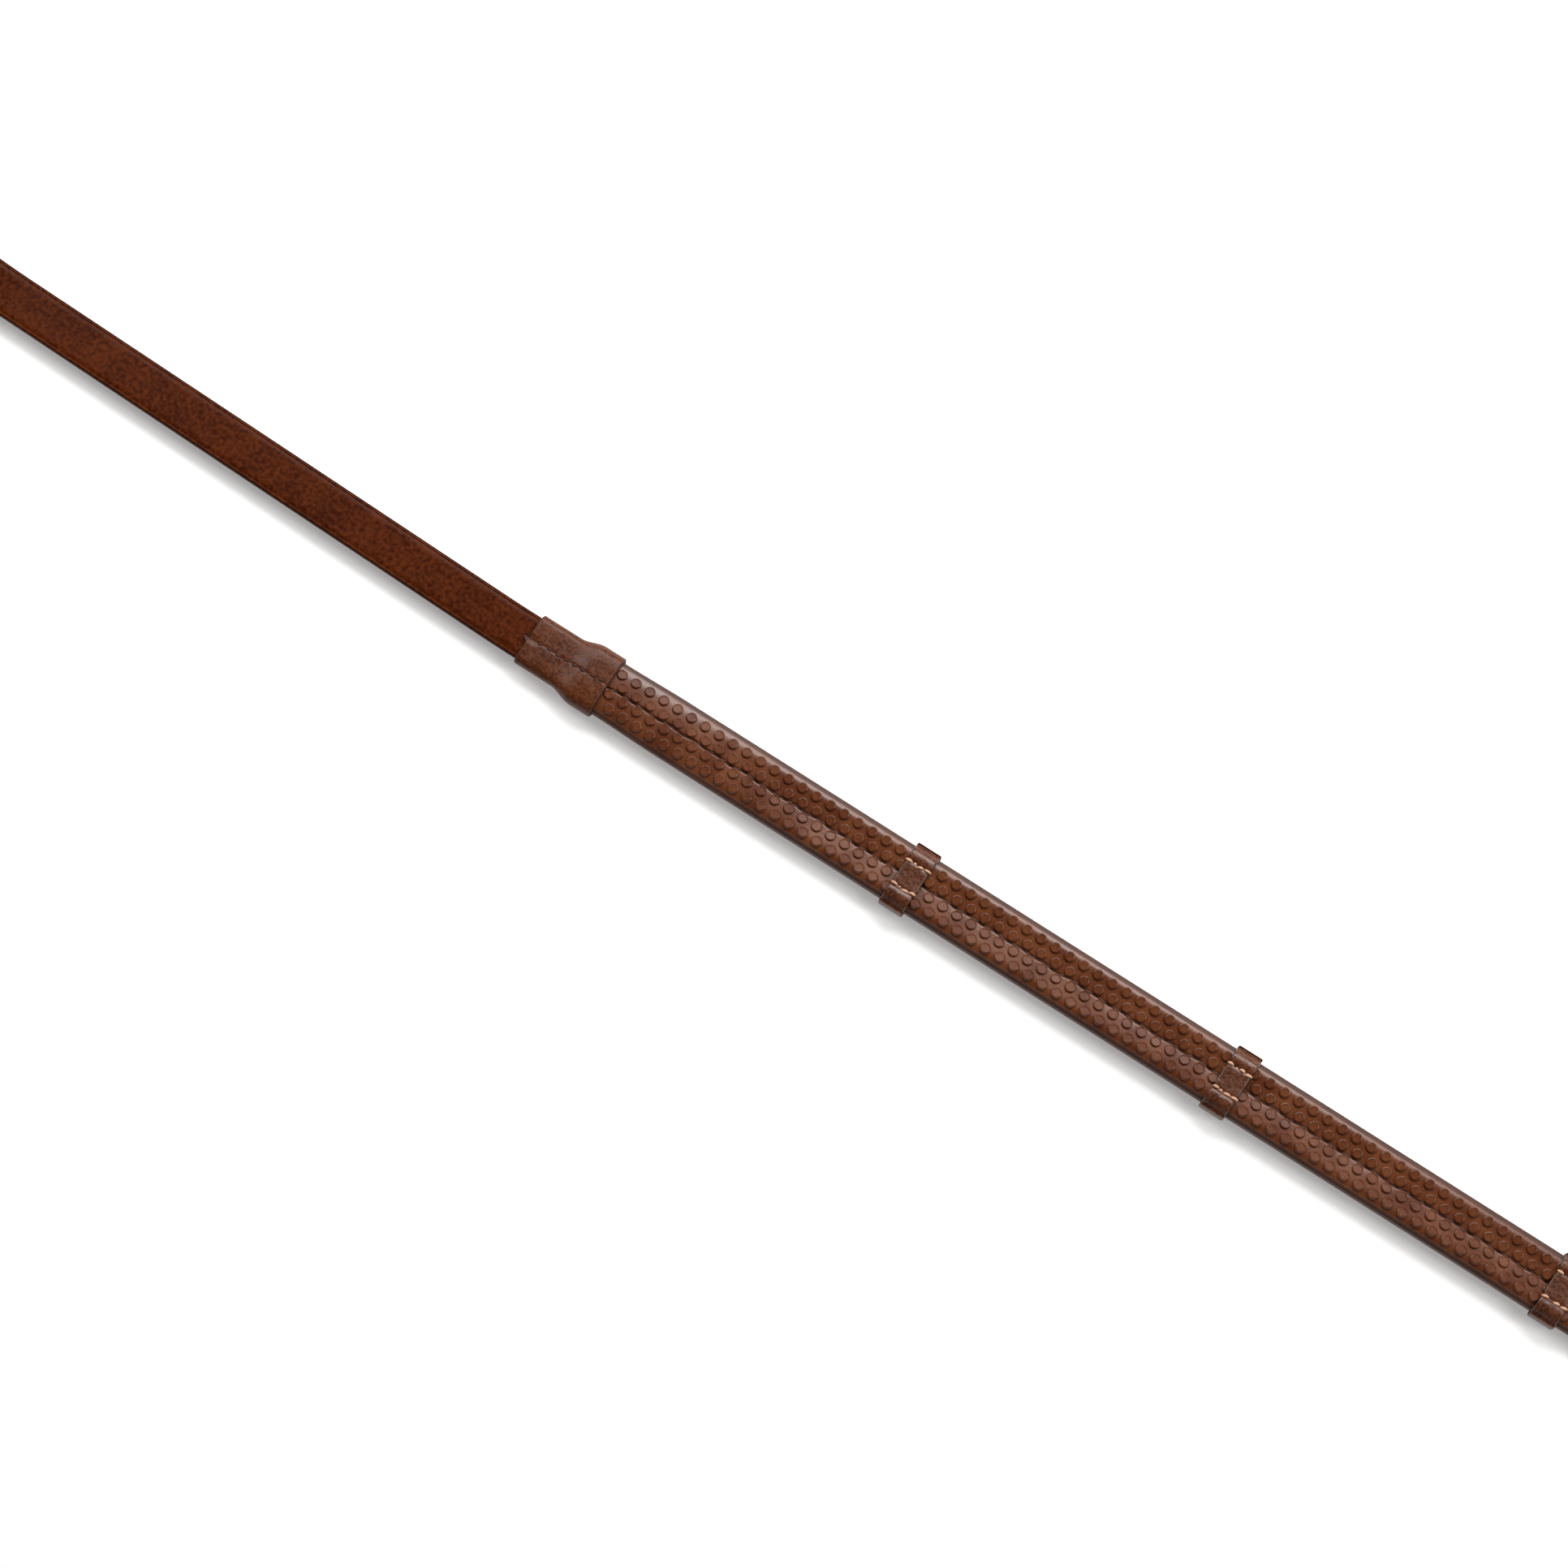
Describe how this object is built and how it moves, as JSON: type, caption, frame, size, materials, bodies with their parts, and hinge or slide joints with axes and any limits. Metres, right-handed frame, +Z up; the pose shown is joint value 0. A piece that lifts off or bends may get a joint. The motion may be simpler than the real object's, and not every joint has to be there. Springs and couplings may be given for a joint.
{
  "type": "riding rein",
  "caption": "Single leather riding rein with a pimpled rubber grip, leather hand stops, a hook-stud bit loop and an end buckle, laid flat with its rider's end in one loop.",
  "frame": {"origin": "middle of the bit loop, on the axis that a bit's ring goes through", "axes": "+X along the strap from the bit loop towards the grip, +Y across the strap and along the bit loop's axis, +Z up from the surface that the rein lies on"},
  "size_m": [0.9946, 0.2517, 0.0237],
  "materials": {
    "strap_leather": "smooth waxed bridle leather, dark red-brown",
    "trim_leather": "grained leather, brown, polished on its rolled edges",
    "grip_rubber": "moulded brown rubber with round pimples",
    "dark_thread": "waxed dark brown thread",
    "tan_thread": "waxed cream thread",
    "steel": "polished stainless steel"
  },
  "bodies": {
    "rein": {"bit_end_stitches": "dark_thread", "bit_fixed_keeper": "trim_leather", "bit_side_sleeve": "trim_leather", "bit_side_sleeve_thread": "dark_thread", "buckle_fixed_keeper": "trim_leather", "buckle_side_sleeve": "trim_leather", "buckle_side_sleeve_thread": "dark_thread", "chape_stitches": "dark_thread", "front_strap": "strap_leather", "grip_core_strap": "strap_leather", "grip_seam_thread": "dark_thread", "hand_stop_1": "trim_leather", "hand_stop_2": "trim_leather", "hand_stop_3": "trim_leather", "hand_stop_4": "trim_leather", "hand_stop_5": "trim_leather", "hand_stop_stitches_1": "tan_thread", "hand_stop_stitches_2": "tan_thread", "hand_stop_stitches_3": "tan_thread", "hand_stop_stitches_4": "tan_thread", "hand_stop_stitches_5": "tan_thread", "hook_stud": "steel", "hook_stud_washer": "steel", "rear_strap": "strap_leather", "rubber_grip": "grip_rubber"},
    "bit_runner": {"bit_runner_keeper": "trim_leather"},
    "buckle_runner": {"buckle_runner_keeper": "trim_leather"},
    "buckle_frame": {"buckle_frame": "steel"},
    "buckle_tongue": {"buckle_tongue": "steel"}
  },
  "joints": [
    {"name": "bit_runner_slide", "type": "slide", "parent": "rein", "child": "bit_runner", "axis": [1, 0, 0], "range_m": [-0.008, 0.018]},
    {"name": "buckle_runner_slide", "type": "slide", "parent": "rein", "child": "buckle_runner", "axis": [-0.1736, -0.9848, 0], "range_m": [-0.025, 0.018]},
    {"name": "buckle_frame_turn", "type": "hinge", "parent": "rein", "child": "buckle_frame", "pos_m": [0.80997, 0.09124, 0.00305], "axis": [0, 0, -1], "range_deg": [-120, 60]},
    {"name": "buckle_tongue_turn", "type": "hinge", "parent": "buckle_frame", "child": "buckle_tongue", "pos_m": [0.80997, 0.09124, 0.00305], "axis": [0, 0, -1], "range_deg": [0, 80]}
  ]
}
